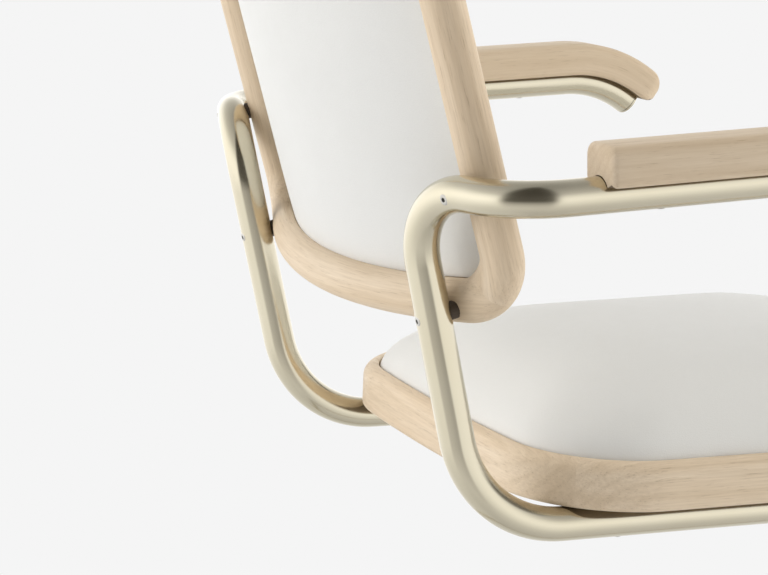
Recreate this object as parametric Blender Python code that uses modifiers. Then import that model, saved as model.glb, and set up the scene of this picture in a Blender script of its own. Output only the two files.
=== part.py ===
"""Cantilever armchair: two bent tubes carry a wood-framed seat, a wood-framed back and wooden arm pads.

Metres, +Z up. The sitter faces -Y, the floor is Z = 0 and X = 0 is the middle plane.
"""
import math

import bmesh
import bpy
import numpy as np
from mathutils import Vector

NAME = "cantilever_armchair"

# Clearances
GAP = 0.0003
SPACER_MIN = 0.0012

# Bent tube
TUBE_DIA = 0.025
TUBE_WALL = 0.002
RAIL_HALF = 0.172
ARM_HALF = 0.268
RAIL_Z = 0.385
REAR_CORNER_Y = 0.1846
POST_LEAN = math.radians(14.1)
POST_RISE = 0.2456
STEP_SLOPE = 0.34375
ARM_RISE = math.radians(3.5)
ARM_REACH = 0.379
ARM_DROOP = math.radians(34.0)
ARM_TAIL = 0.036
LOW_BEND = 0.088
STEP_STRAIGHT = 0.0075
DROOP_BEND = 0.100
FRONT_BEND = 0.088
FLOOR_BEND = 0.088
RUNNER_TAIL = 0.040
LEG_SETBACK = 0.006
GLIDE_LIFT = 0.003
GLIDE_RADIUS = 0.011
GLIDE_INSET = 0.040
GLIDE_CUP = 0.0085
SLEEVE_LENGTH = 0.080
PLUG_CAP = 0.003
PLUG_STEM = 0.008
PLUG_PLAY = 0.0006
BORE_OVERRUN = 0.005

# Arm pads
PAD_WIDTH = 0.040
PAD_LOW = 0.0063
PAD_TOP = 0.0336
PAD_START = 0.093
PAD_OVERHANG = 0.016
PAD_TIP = 0.016
PAD_TOP_ROUND = 0.008
PAD_LOW_ROUND = 0.003
PAD_SCREW_IN = 0.045
PAD_CHAMFER = 0.0015

# Back
BACK_LEAN = math.radians(17.2)
BACK_CURVE = 0.455
BACK_HALF = 0.208
BACK_LOW = 0.1597
BACK_HIGH = 0.447
BACK_CORNER = 0.0375
BACK_WOOD = 0.0136
BACK_BOARD = 0.004
BACK_RABBET = 0.006
BACK_PAD_RIM = 0.010
BACK_PAD_CROWN = 0.016
BACK_COVER_RIM = 0.0015
BACK_COVER_CROWN = 0.0025
BACK_FULLNESS = 3.0
BACK_SHOULDER = 0.45
BACK_ROUND_MIN = 0.004
BACK_EDGE = 0.0002
SPACER_RADIUS = 0.0065

# Seat
SEAT_HALF = 0.208
SEAT_DEPTH = 0.466
SEAT_CORNER = 0.089
SEAT_BOW = 0.011
SEAT_OVERHANG = 0.0046
SEAT_WOOD = 0.0357
SEAT_RIM = 0.012
SEAT_LEDGE = 0.037
SEAT_LEDGE_HEIGHT = 0.012
SEAT_TOP_ROUND = 0.010
SEAT_LOW_ROUND = 0.005
SEAT_BOARD = 0.009
SEAT_CROWN = 0.061
SEAT_FULLNESS = 3.3
SEAT_SHOULDER = 0.65
SEAT_SCREW_IN = 0.045

# Screws
SCREW_RADIUS = 0.0025
SCREW_HEAD = 0.0038
SCREW_HEAD_HEIGHT = 0.0010
SCREW_RECESS = 0.0012
SCREW_SOCKET = 0.0015
BACK_BITE = 0.016
PAD_BITE = 0.012
SEAT_BITE = 0.010

# Facets
TUBE_SIDES = 16
BORE_SIDES = 12
WOOD_SIDES = 14
BEND_STEP = math.radians(11.0)

TUBE_RADIUS = TUBE_DIA / 2
BORE_RADIUS = TUBE_RADIUS - TUBE_WALL
ARM_STEP = (ARM_HALF - RAIL_HALF) * STEP_SLOPE
FLOOR_Z = GLIDE_LIFT + TUBE_RADIUS
SIDES = {"left": 1, "right": -1}


def clear_scene():
    for ob in list(bpy.data.objects):
        bpy.data.objects.remove(ob, do_unlink=True)


def new_collection(name):
    group = bpy.data.collections.new(name)
    bpy.context.scene.collection.children.link(group)
    return group


def make_material(name, colour, metallic, roughness):
    mat = bpy.data.materials.new(name)
    mat.use_nodes = True
    shader = mat.node_tree.nodes["Principled BSDF"]
    shader.inputs["Base Color"].default_value = (*colour, 1.0)
    shader.inputs["Metallic"].default_value = metallic
    shader.inputs["Roughness"].default_value = roughness
    return mat


FINISH = {
    "tube": ((0.78, 0.72, 0.55), 1.0, 0.32),
    "wood": ((0.78, 0.66, 0.50), 0.0, 0.50),
    "board": ((0.62, 0.48, 0.33), 0.0, 0.70),
    "cover": ((0.82, 0.82, 0.80), 0.0, 0.60),
    "dark": ((0.05, 0.04, 0.03), 0.0, 0.60),
    "steel": ((0.55, 0.54, 0.52), 1.0, 0.30),
    "glide": ((0.75, 0.74, 0.70), 0.0, 0.45),
}


def finish(ob, kind, sharp=35.0):
    """Puts a piece under the chair's empty, with its own material and smooth shading."""
    PARTS.objects.link(ob)
    ob.parent = ROOT
    ob.data.materials.append(make_material(ob.name, *FINISH[kind]))
    ob.data.shade_smooth()
    ob.data.set_sharp_from_angle(angle=math.radians(sharp))
    return ob


def as_cutter(ob):
    CUTTERS.objects.link(ob)
    ob.hide_render = True
    ob.display_type = "WIRE"
    return ob


def cut(ob, cutter):
    mod = ob.modifiers.new("cut_" + cutter.name, "BOOLEAN")
    mod.operation = "DIFFERENCE"
    mod.solver = "EXACT"
    mod.object = cutter


def mesh_object(name, bm):
    bmesh.ops.recalc_face_normals(bm, faces=bm.faces)
    mesh = bpy.data.meshes.new(name)
    bm.to_mesh(mesh)
    bm.free()
    return bpy.data.objects.new(name, mesh)


def from_curve(name, curve):
    """Makes a closed mesh object from curve data, with its caps welded."""
    temp = bpy.data.objects.new(name + "_curve", curve)
    bpy.context.scene.collection.objects.link(temp)
    depsgraph = bpy.context.evaluated_depsgraph_get()
    mesh = bpy.data.meshes.new_from_object(temp.evaluated_get(depsgraph))
    mesh.name = name
    bpy.data.objects.remove(temp, do_unlink=True)
    bm = bmesh.new()
    bm.from_mesh(mesh)
    bmesh.ops.remove_doubles(bm, verts=bm.verts, dist=1e-6)
    bmesh.ops.recalc_face_normals(bm, faces=bm.faces)
    bm.to_mesh(mesh)
    bm.free()
    return bpy.data.objects.new(name, mesh)


def pipe(name, path, radius, sides, cyclic=False):
    """A round rod along a path."""
    curve = bpy.data.curves.new(name, "CURVE")
    curve.dimensions = "3D"
    curve.bevel_depth = radius
    curve.bevel_resolution = sides // 2 - 2
    curve.use_fill_caps = not cyclic
    spline = curve.splines.new("POLY")
    spline.points.add(len(path) - 1)
    for point, place in zip(spline.points, path):
        point.co = (*place, 1.0)
    spline.use_cyclic_u = cyclic
    return from_curve(name, curve)


def plate(name, outline, z, thickness):
    """A flat board with its underside at z."""
    curve = bpy.data.curves.new(name, "CURVE")
    curve.dimensions = "2D"
    curve.fill_mode = "BOTH"
    curve.extrude = thickness / 2
    spline = curve.splines.new("POLY")
    spline.points.add(len(outline) - 1)
    for point, (x, y) in zip(spline.points, outline):
        point.co = (x, y, 0.0, 1.0)
    spline.use_cyclic_u = True
    ob = from_curve(name, curve)
    ob.location.z = z + thickness / 2
    return ob


def loft(name, loops, ring=False):
    """A skin over a row of loops with equal point counts, capped or joined end to end."""
    bm = bmesh.new()
    rows = [[bm.verts.new(p) for p in loop] for loop in loops]
    pairs = list(zip(rows[:-1], rows[1:]))
    if ring:
        pairs.append((rows[-1], rows[0]))
    for low, high in pairs:
        for i in range(len(low)):
            j = (i + 1) % len(low)
            bm.faces.new((low[i], low[j], high[j], high[i]))
    if not ring:
        bm.faces.new(rows[0])
        bm.faces.new(rows[-1])
    return mesh_object(name, bm)


def rod(name, start, end, radius, sides):
    """A cylinder between two points."""
    bm = bmesh.new()
    axis = Vector(end) - Vector(start)
    bmesh.ops.create_cone(bm, cap_ends=True, segments=sides, radius1=radius, radius2=radius,
                          depth=axis.length)
    ob = mesh_object(name, bm)
    ob.location = (Vector(start) + Vector(end)) / 2
    ob.rotation_mode = "QUATERNION"
    ob.rotation_quaternion = axis.to_track_quat("Z", "Y")
    return ob


def turned(name, profile, place, axis, steps):
    """A turned piece: the profile runs down its outer side from axis to axis, along the given axis."""
    mesh = bpy.data.meshes.new(name)
    verts = [(r, 0.0, z) for r, z in profile]
    mesh.from_pydata(verts, [(i, i + 1) for i in range(len(verts) - 1)], [])
    ob = bpy.data.objects.new(name, mesh)
    mod = ob.modifiers.new("turn", "SCREW")
    mod.steps = steps
    mod.render_steps = steps
    mod.use_merge_vertices = True
    mod.merge_threshold = 1e-5
    ob.location = place
    ob.rotation_mode = "QUATERNION"
    ob.rotation_quaternion = Vector(axis).to_track_quat("Z", "Y")
    return ob


def soften(ob, levels):
    mod = ob.modifiers.new("soften", "SUBSURF")
    mod.levels = levels
    mod.render_levels = levels
    return ob


def rounded_path(corners, radii):
    """A path through the corners with each inner one replaced by an arc."""
    path = [corners[0]]
    for i, radius in enumerate(radii, start=1):
        back = (corners[i - 1] - corners[i]).normalized()
        ahead = (corners[i + 1] - corners[i]).normalized()
        turn = math.pi - back.angle(ahead)
        reach = radius * math.tan(turn / 2)
        centre = corners[i] + (back + ahead).normalized() * (radius / math.cos(turn / 2))
        first = corners[i] + back * reach - centre
        side = -back * radius
        count = max(2, math.ceil(turn / BEND_STEP))
        for k in range(count + 1):
            angle = turn * k / count
            path.append(centre + first * math.cos(angle) + side * math.sin(angle))
    path.append(corners[-1])
    return path


def extended(path, start, end):
    """The same path with its two ends pushed out."""
    first = path[0] + (path[0] - path[1]).normalized() * start
    last = path[-1] + (path[-1] - path[-2]).normalized() * end
    return [first] + path[1:-1] + [last]


def seat_outline(inset, corner_steps, edge_steps):
    """The seat's plan: a rounded rectangle with bowed rear and front edges, in its own frame."""
    half = SEAT_HALF - inset
    deep = SEAT_DEPTH / 2 - inset
    round_ = SEAT_CORNER - inset
    points = []
    for quarter in range(4):
        middle = math.pi / 4 + quarter * math.pi / 2
        cx = math.copysign(half - round_, math.cos(middle))
        cy = math.copysign(deep - round_, math.sin(middle))
        for k in range(corner_steps + 1):
            angle = quarter * math.pi / 2 + k / corner_steps * math.pi / 2
            points.append((cx + round_ * math.cos(angle), cy + round_ * math.sin(angle)))
        nxt = middle + math.pi / 2
        nx = math.copysign(half - round_, math.cos(nxt))
        ny = math.copysign(deep - round_, math.sin(nxt))
        end = (points[-1][0], points[-1][1])
        start = (nx + round_ * math.cos(middle + math.pi / 4), ny + round_ * math.sin(middle + math.pi / 4))
        for k in range(1, edge_steps):
            t = k / edge_steps
            points.append((end[0] + (start[0] - end[0]) * t, end[1] + (start[1] - end[1]) * t))
    return [(x, y - SEAT_BOW * (x / half) ** 2 * y / deep) for x, y in points]


def seat_drop(x):
    """How far the seat's rear edge has come forward at a distance x from the middle."""
    flat = SEAT_HALF - SEAT_CORNER
    past = min(max(abs(x) - flat, 0.0), SEAT_CORNER)
    fall = SEAT_CORNER - math.sqrt(SEAT_CORNER ** 2 - past ** 2)
    return fall + SEAT_BOW * (x / SEAT_HALF) ** 2


def back_outline(inset, corner_steps, edge_steps):
    """The back frame's centre line moved inward, as (across, along) pairs."""
    half = BACK_HALF - inset
    tall = (BACK_HIGH - BACK_LOW) / 2 - inset
    middle = (BACK_HIGH + BACK_LOW) / 2
    round_ = max(BACK_CORNER - inset, BACK_ROUND_MIN)
    points = []
    for quarter in range(4):
        angle = math.pi / 4 + quarter * math.pi / 2
        cx = math.copysign(half - round_, math.cos(angle))
        cs = math.copysign(tall - round_, math.sin(angle))
        for k in range(corner_steps + 1):
            a = quarter * math.pi / 2 + k / corner_steps * math.pi / 2
            points.append((cx + round_ * math.cos(a), cs + round_ * math.sin(a)))
        if quarter % 2 == 0:
            run = 2 * (half - round_)
            for k in range(1, edge_steps):
                along = math.copysign(run * k / edge_steps, cx)
                points.append((cx - along, cs + math.copysign(round_, cs)))
        else:
            run = 2 * (tall - round_)
            points.append((cx + math.copysign(round_, cx), cs - math.copysign(run / 2, cs)))
    return [(x, s + middle) for x, s in points]


def back_point(across, along, out, origin_y):
    """A point of the back: across and along its curved middle surface, and out behind it."""
    rearward = Vector((0.0, math.cos(BACK_LEAN), -math.sin(BACK_LEAN)))
    upward = Vector((0.0, math.sin(BACK_LEAN), math.cos(BACK_LEAN)))
    lean = across / BACK_CURVE
    level = math.sqrt(1.0 - lean ** 2)
    base = Vector((0.0, origin_y, RAIL_Z))
    depth = -BACK_CURVE * (1.0 - level) + out * level
    return base + upward * along + rearward * depth + Vector((across + out * lean, 0.0, 0.0))


def dense(path, step):
    """The path's points with straight runs filled in, as an array."""
    points = []
    for a, b in zip(path[:-1], path[1:]):
        count = max(1, math.ceil((b - a).length / step))
        points += [a.lerp(b, k / count) for k in range(count)]
    points.append(path[-1])
    return np.array(points)


def nearest_pair(first, second):
    """The closest points of two point rows, and their distance."""
    far = np.linalg.norm(first[:, None] - second[None], axis=2)
    i, j = np.unravel_index(int(far.argmin()), far.shape)
    return Vector(first[i]), Vector(second[j]), float(far[i, j])


def place_back(tube_points):
    """The back's Y at the rail's height, where its frame clears the tubes by the spacers' thickness."""
    wanted = TUBE_RADIUS + BACK_WOOD + SPACER_MIN
    line = [back_point(x, s, 0.0, 0.0) for x, s in back_outline(0.0, 8, 16)]
    shape = dense(line + line[:1], 0.002)
    low = REAR_CORNER_Y - BACK_HIGH
    high = REAR_CORNER_Y + BACK_LOW / 2
    for _ in range(40):
        middle = (low + high) / 2
        if nearest_pair(tube_points, shape + np.array((0.0, middle, 0.0)))[2] > wanted:
            low = middle
        else:
            high = middle
    return low


clear_scene()
PARTS = new_collection(NAME)
CUTTERS = new_collection(NAME + "_cutters")
ROOT = bpy.data.objects.new(NAME, None)
PARTS.objects.link(ROOT)

# Seat and leg places along Y follow from the rear bend.
LOW_TURN = math.pi / 2 - POST_LEAN
LOW_REACH = LOW_BEND * math.tan(LOW_TURN / 2)
RAIL_START = REAR_CORNER_Y - LOW_REACH
SEAT_REAR = RAIL_START + SEAT_OVERHANG + seat_drop(RAIL_HALF)
SEAT_MIDDLE = SEAT_REAR - SEAT_DEPTH / 2
LEG_Y = SEAT_REAR - SEAT_DEPTH + LEG_SETBACK
RAIL_END = LEG_Y + FRONT_BEND
RUNNER_Y = REAR_CORNER_Y + RUNNER_TAIL
SEAT_Z = RAIL_Z + TUBE_RADIUS + GAP

POST_TOP_Y = REAR_CORNER_Y + POST_RISE * math.tan(POST_LEAN)
ARM_Z = RAIL_Z + POST_RISE
ARM_FORWARD = Vector((0.0, -math.cos(ARM_RISE), math.sin(ARM_RISE)))
ARM_UP = Vector((0.0, math.sin(ARM_RISE), math.cos(ARM_RISE)))
DROOP_FORWARD = Vector((0.0, -math.cos(ARM_DROOP), -math.sin(ARM_DROOP)))


def arm_point(side, ahead):
    """A point of an arm's straight axis, ahead of the post's top."""
    rise = ahead * math.tan(ARM_RISE)
    return Vector((side * ARM_HALF, POST_TOP_Y - ahead, ARM_Z + rise))


# The tube steps out from post to arm by two equal bends with a short straight between them.
POST_UP = Vector((0.0, math.sin(POST_LEAN), math.cos(POST_LEAN)))
STEP = arm_point(1, ARM_STEP) - Vector((RAIL_HALF, POST_TOP_Y, ARM_Z))
STEP_TURNS = (POST_UP.angle(STEP), STEP.angle(ARM_FORWARD))
STEP_BEND = (STEP.length - STEP_STRAIGHT) / sum(math.tan(turn / 2) for turn in STEP_TURNS)


def tube_path(side):
    """From the arm's front end back round the post, under the seat and along the floor to the middle."""
    x = side * RAIL_HALF
    arm_corner = arm_point(side, ARM_REACH)
    corners = [
        arm_corner + DROOP_FORWARD * ARM_TAIL,
        arm_corner,
        arm_point(side, ARM_STEP),
        Vector((x, POST_TOP_Y, ARM_Z)),
        Vector((x, REAR_CORNER_Y, RAIL_Z)),
        Vector((x, LEG_Y, RAIL_Z)),
        Vector((x, LEG_Y, FLOOR_Z)),
        Vector((x, RUNNER_Y, FLOOR_Z)),
        Vector((side * GAP, RUNNER_Y, FLOOR_Z)),
    ]
    bends = [DROOP_BEND, STEP_BEND, STEP_BEND, LOW_BEND, FRONT_BEND, FLOOR_BEND, FLOOR_BEND]
    return rounded_path(corners, bends)


def screw(name, seat, axis, length):
    """A socket screw with its head's underside at the seat and its shank against the axis."""
    profile = [
        (0.0, SCREW_HEAD_HEIGHT * 0.3),
        (SCREW_SOCKET, SCREW_HEAD_HEIGHT * 0.3),
        (SCREW_SOCKET, SCREW_HEAD_HEIGHT),
        (SCREW_HEAD * 0.72, SCREW_HEAD_HEIGHT),
        (SCREW_HEAD, SCREW_HEAD_HEIGHT * 0.45),
        (SCREW_HEAD, 0.0),
        (SCREW_RADIUS, 0.0),
        (SCREW_RADIUS, -length),
        (0.0, -length),
    ]
    return finish(turned(name, profile, seat, axis, 10), "steel")


def fasten(name, centre, axis, depth, through):
    """A screw through the tube at centre, its head sunk outward along axis, ending depth past the centre."""
    axis = Vector(axis).normalized()
    sunk = TUBE_RADIUS - SCREW_RECESS
    screw(name, centre + axis * (sunk + GAP), axis, sunk + GAP + depth)
    recess = as_cutter(rod(name + "_recess", centre + axis * TUBE_DIA, centre + axis * sunk,
                           SCREW_HEAD + GAP, 10))
    cut(through[0], recess)
    hole = as_cutter(rod(name + "_hole", centre + axis * TUBE_DIA, centre - axis * (depth + GAP),
                         SCREW_RADIUS + GAP, 10))
    for piece in through:
        cut(piece, hole)
    return hole


# Tubes, with the solid forms that their neighbours are cut by
paths = {name: tube_path(side) for name, side in SIDES.items()}
tubes = {}
tube_forms = {}
for name, path in paths.items():
    tubes[name] = finish(pipe("tube_" + name, path, TUBE_RADIUS, TUBE_SIDES), "tube")
    through = extended(path, BORE_OVERRUN, BORE_OVERRUN)
    cut(tubes[name], as_cutter(pipe("bore_" + name, through, BORE_RADIUS, BORE_SIDES)))
    longer = extended(path, PLUG_CAP + 2 * GAP, 0.0)
    tube_forms[name] = as_cutter(pipe("tube_form_" + name, longer, TUBE_RADIUS + GAP, TUBE_SIDES))

STEM_RADIUS = BORE_RADIUS * math.cos(math.pi / BORE_SIDES) - GAP
sleeve_ends = [Vector((side * SLEEVE_LENGTH / 2, RUNNER_Y, FLOOR_Z)) for side in SIDES.values()]
finish(rod("floor_sleeve", sleeve_ends[0], sleeve_ends[1], STEM_RADIUS, BORE_SIDES), "steel")

for name, path in paths.items():
    outward = (path[0] - path[1]).normalized()
    plug = [
        (0.0, PLUG_CAP + GAP),
        (TUBE_RADIUS * 0.7, PLUG_CAP + GAP),
        (TUBE_RADIUS * 0.97, PLUG_CAP * 0.5),
        (TUBE_RADIUS * 0.97, GAP),
        (STEM_RADIUS - PLUG_PLAY, GAP),
        (STEM_RADIUS - PLUG_PLAY, -PLUG_STEM),
        (0.0, -PLUG_STEM),
    ]
    finish(turned("arm_plug_" + name, plug, path[0], outward, TUBE_SIDES), "tube")

# Back frame, board and covers
posts = {name: [p for p in path if p.z > RAIL_Z] for name, path in paths.items()}
tube_points = np.concatenate([dense(post, 0.002) for post in posts.values()])
BACK_Y = place_back(tube_points)
frame_line = [back_point(x, s, 0.0, BACK_Y) for x, s in back_outline(0.0, 6, 16)]
back_frame = finish(pipe("back_frame", frame_line, BACK_WOOD, WOOD_SIDES, cyclic=True), "wood")
frame_form = as_cutter(pipe("back_frame_form", frame_line, BACK_WOOD + GAP, WOOD_SIDES, cyclic=True))


def back_sections(inset):
    """Sections across a shape that lies inside the frame's centre line: (across, low end, high end)."""
    half = BACK_HALF - inset
    round_ = max(BACK_CORNER - inset, BACK_ROUND_MIN)
    flat = half - round_
    steps = [flat * k / 10 for k in range(10)]
    steps += [flat + round_ * math.sin(math.pi / 2 * k / 5) for k in range(5)]
    steps.append(half - BACK_EDGE)
    for x in [-x for x in reversed(steps[1:])] + steps:
        past = max(abs(x) - flat, 0.0)
        rise = round_ - math.sqrt(round_ ** 2 - past ** 2)
        yield x, BACK_LOW + inset + rise, BACK_HIGH - inset - rise


def back_slab(name, inset, front, rear):
    """A curved board between two depths."""
    loops = []
    for x, low, high in back_sections(inset):
        corners = [(low, front), (high, front), (high, rear), (low, rear)]
        loops.append([back_point(x, s, n, BACK_Y) for s, n in corners])
    return loft(name, loops)


def frame_reach(depth):
    """How far the back frame's round section reaches inward of its centre line at a depth."""
    return math.sqrt(BACK_WOOD ** 2 - depth ** 2)


# The board lies in a rabbet, flush with the frame's front; the rear cover lies on it inside the frame.
BOARD_FRONT = -BACK_WOOD
BOARD_REAR = BOARD_FRONT + BACK_BOARD
BOARD_INSET = frame_reach(BOARD_REAR) - BACK_RABBET
COVER_INSET = frame_reach(BOARD_REAR + GAP + BACK_COVER_RIM) + GAP
finish(back_slab("back_board", BOARD_INSET, BOARD_FRONT, BOARD_REAR), "board")
rabbet = as_cutter(back_slab("back_rabbet", BOARD_INSET - GAP, BOARD_FRONT - GAP, BOARD_REAR + GAP))
cut(back_frame, rabbet)


def dome(t, fullness, shoulder):
    """A full cushion's height from its middle (0) to its edge (1)."""
    return max(1.0 - abs(t) ** fullness, 0.0) ** shoulder


def back_cushion(name, inset, start, rim, crown):
    """A crowned cushion on the back board's face at start; rim and crown point away from it."""
    loops = []
    for x, low, high in back_sections(inset):
        middle = (low + high) / 2
        reach = (high - low) / 2
        side = dome(x / (BACK_HALF - inset), BACK_FULLNESS, BACK_SHOULDER)
        section = [(low, start), (high, start)]
        for t in (1.0, 0.97, 0.88, 0.68, 0.35, 0.0, -0.35, -0.68, -0.88, -0.97, -1.0):
            height = rim + crown * side * dome(t, BACK_FULLNESS, BACK_SHOULDER)
            section.append((middle + t * reach, start + height))
        loops.append([back_point(x, s, n, BACK_Y) for s, n in section])
    return finish(loft(name, loops), "cover")


back_cushion("back_pad", BOARD_INSET - GAP, BOARD_FRONT - GAP, -BACK_PAD_RIM, -BACK_PAD_CROWN)
back_cushion("back_cover", COVER_INSET, BOARD_REAR + GAP, BACK_COVER_RIM, BACK_COVER_CROWN)

# Back screws and the spacers between tube and frame
for name, side in SIDES.items():
    post = dense(posts[name], 0.002)
    low_wood = back_point(side * RAIL_HALF, BACK_LOW, 0.0, BACK_Y)
    stile = [back_point(side * BACK_HALF, s, 0.0, BACK_Y)
             for s in np.linspace(BACK_LOW + BACK_CORNER, BACK_HIGH - BACK_CORNER, 120)]
    lines = {"low": np.array([low_wood]), "high": np.array(stile)}
    for level, wood in lines.items():
        tube_spot, wood_spot, reach = nearest_pair(post, wood)
        label = level + "_" + name
        spacer = finish(rod("back_spacer_" + label, tube_spot, wood_spot, SPACER_RADIUS, 16), "dark")
        cut(spacer, tube_forms[name])
        cut(spacer, frame_form)
        depth = reach - BACK_WOOD + BACK_BITE
        fasten("back_screw_" + label, tube_spot, tube_spot - wood_spot, depth,
               [tubes[name], spacer, back_frame])


def seat_loop(inset, z, corner_steps, edge_steps, size=1.0):
    outline = seat_outline(inset, corner_steps, edge_steps)
    return [Vector((x * size, SEAT_MIDDLE + y * size, SEAT_Z + z)) for x, y in outline]


# Seat frame: a rounded rim with a ledge that carries the board
LEDGE_INSET = SEAT_RIM + SEAT_LEDGE
rim = [(SEAT_LOW_ROUND, 0.0)]
rim += [(SEAT_LOW_ROUND * (1 - math.sin(a)), SEAT_LOW_ROUND * (1 - math.cos(a)))
        for a in (math.pi / 4, math.pi / 2)]
rim += [(SEAT_TOP_ROUND * (1 - math.cos(a)), SEAT_WOOD - SEAT_TOP_ROUND * (1 - math.sin(a)))
        for a in (0.0, math.pi / 6, math.pi / 3, math.pi / 2)]
rim += [(SEAT_RIM, SEAT_WOOD), (SEAT_RIM, SEAT_LEDGE_HEIGHT)]
rim += [(LEDGE_INSET, SEAT_LEDGE_HEIGHT), (LEDGE_INSET, 0.0)]
seat_frame = finish(loft("seat_frame", [seat_loop(i, z, 7, 5) for i, z in rim], ring=True), "wood")

board_outline = [(x, SEAT_MIDDLE + y) for x, y in seat_outline(SEAT_RIM + GAP, 7, 5)]
finish(plate("seat_board", board_outline, SEAT_Z + SEAT_LEDGE_HEIGHT + GAP, SEAT_BOARD), "board")

PAD_FLOOR = SEAT_LEDGE_HEIGHT + SEAT_BOARD + 2 * GAP
stages = [(0.97, PAD_FLOOR), (0.995, PAD_FLOOR), (0.995, SEAT_WOOD)]
for k in (0.9995, 0.98, 0.9, 0.74, 0.5, 0.2):
    stages.append((k, SEAT_WOOD + SEAT_CROWN * dome(k, SEAT_FULLNESS, SEAT_SHOULDER)))
pad_loops = [seat_loop(SEAT_RIM + GAP, z, 5, 3, size) for size, z in stages]
finish(soften(loft("seat_pad", pad_loops), 1), "cover")

for name, side in SIDES.items():
    seat_screws = {"rear": RAIL_START - SEAT_SCREW_IN, "front": RAIL_END + SEAT_SCREW_IN}
    for level, y in seat_screws.items():
        spot = Vector((side * RAIL_HALF, y, RAIL_Z))
        fasten("seat_screw_" + level + "_" + name, spot, (0.0, 0.0, -1.0), TUBE_RADIUS + GAP + SEAT_BITE,
               [tubes[name], seat_frame])


def pad_section():
    """The arm pad's section as (across, up) pairs round a box with rounded corners."""
    half = PAD_WIDTH / 2
    corners = [(half, PAD_LOW, PAD_LOW_ROUND, 2), (half, PAD_TOP, PAD_TOP_ROUND, 4),
               (-half, PAD_TOP, PAD_TOP_ROUND, 4), (-half, PAD_LOW, PAD_LOW_ROUND, 2)]
    points = []
    for quarter, (x, u, radius, steps) in enumerate(corners):
        cx = x - math.copysign(radius, x)
        cu = u + radius if u == PAD_LOW else u - radius
        for k in range(steps + 1):
            angle = (quarter - 1 + k / steps) * math.pi / 2
            points.append((cx + radius * math.cos(angle), cu + radius * math.sin(angle)))
    return points


def arm_pad(name, side):
    """A wooden pad that follows the arm and its droop, with a rounded tip past the tube's end."""
    arm_corner = arm_point(side, ARM_REACH)
    last = arm_corner + DROOP_FORWARD * (ARM_TAIL + PAD_OVERHANG)
    spine = rounded_path([arm_point(side, PAD_START), arm_corner, last], [DROOP_BEND])
    stations = [(spine[0], ARM_FORWARD, 0.94)]
    stations.append((spine[0] + ARM_FORWARD * PAD_CHAMFER, ARM_FORWARD, 1.0))
    for before, here, after in zip(spine[:-2], spine[1:-1], spine[2:]):
        heading = ((here - before).normalized() + (after - here).normalized()).normalized()
        stations.append((here, heading, 1.0))
    for back in (1.0, 0.6, 0.3, 0.1, 0.0):
        size = max(math.sqrt(1.0 - (1.0 - back) ** 2), 0.25)
        stations.append((last - DROOP_FORWARD * PAD_TIP * back, DROOP_FORWARD, size))
    centre = (PAD_LOW + PAD_TOP) / 2
    loops = []
    for place, heading, size in stations:
        up = Vector((1.0, 0.0, 0.0)).cross(heading)
        if up.z < 0:
            up = -up
        width = 0.5 + 0.5 * size
        loops.append([place + Vector((x * width, 0.0, 0.0)) + up * (centre + (u - centre) * size)
                      for x, u in pad_section()])
    return finish(loft(name, loops), "wood")


for name, side in SIDES.items():
    pad = arm_pad("arm_pad_" + name, side)
    cut(pad, tube_forms[name])
    droop_reach = DROOP_BEND * math.tan((ARM_RISE + ARM_DROOP) / 2)
    pad_screws = {"rear": PAD_START + PAD_SCREW_IN, "front": ARM_REACH - droop_reach - PAD_SCREW_IN}
    for level, ahead in pad_screws.items():
        fasten("arm_screw_" + level + "_" + name, arm_point(side, ahead), -ARM_UP, TUBE_RADIUS + PAD_BITE,
               [tubes[name], pad])

# Glides under the runners, shaped to the tube
for name, side in SIDES.items():
    feet = {"front": LEG_Y + FLOOR_BEND + GLIDE_INSET, "rear": RUNNER_Y - FLOOR_BEND - GLIDE_INSET}
    for level, y in feet.items():
        foot = Vector((side * RAIL_HALF, y, 0.0))
        top = foot + Vector((0.0, 0.0, GLIDE_LIFT + GLIDE_CUP))
        glide = rod("glide_" + level + "_" + name, foot, top, GLIDE_RADIUS, 16)
        cut(finish(glide, "glide"), tube_forms[name])
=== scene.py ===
"""Looks of a cantilever armchair: tubes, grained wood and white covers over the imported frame."""
import math

import bmesh
import bpy
import numpy as np
from mathutils import Matrix, Vector


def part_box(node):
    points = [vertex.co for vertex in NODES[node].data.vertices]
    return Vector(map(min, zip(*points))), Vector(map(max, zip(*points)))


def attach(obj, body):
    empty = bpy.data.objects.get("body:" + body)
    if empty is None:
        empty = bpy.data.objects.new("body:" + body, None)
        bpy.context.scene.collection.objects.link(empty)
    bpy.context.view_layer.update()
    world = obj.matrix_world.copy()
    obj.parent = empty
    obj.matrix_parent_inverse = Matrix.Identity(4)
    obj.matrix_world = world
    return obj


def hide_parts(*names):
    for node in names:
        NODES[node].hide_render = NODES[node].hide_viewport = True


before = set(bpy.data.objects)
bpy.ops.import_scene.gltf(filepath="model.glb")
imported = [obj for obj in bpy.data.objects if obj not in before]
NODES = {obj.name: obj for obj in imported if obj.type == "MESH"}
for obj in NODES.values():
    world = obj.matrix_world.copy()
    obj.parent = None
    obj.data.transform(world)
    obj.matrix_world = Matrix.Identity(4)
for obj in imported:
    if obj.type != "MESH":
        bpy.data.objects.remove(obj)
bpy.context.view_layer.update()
SIDES = {"left": 1, "right": -1}

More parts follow.
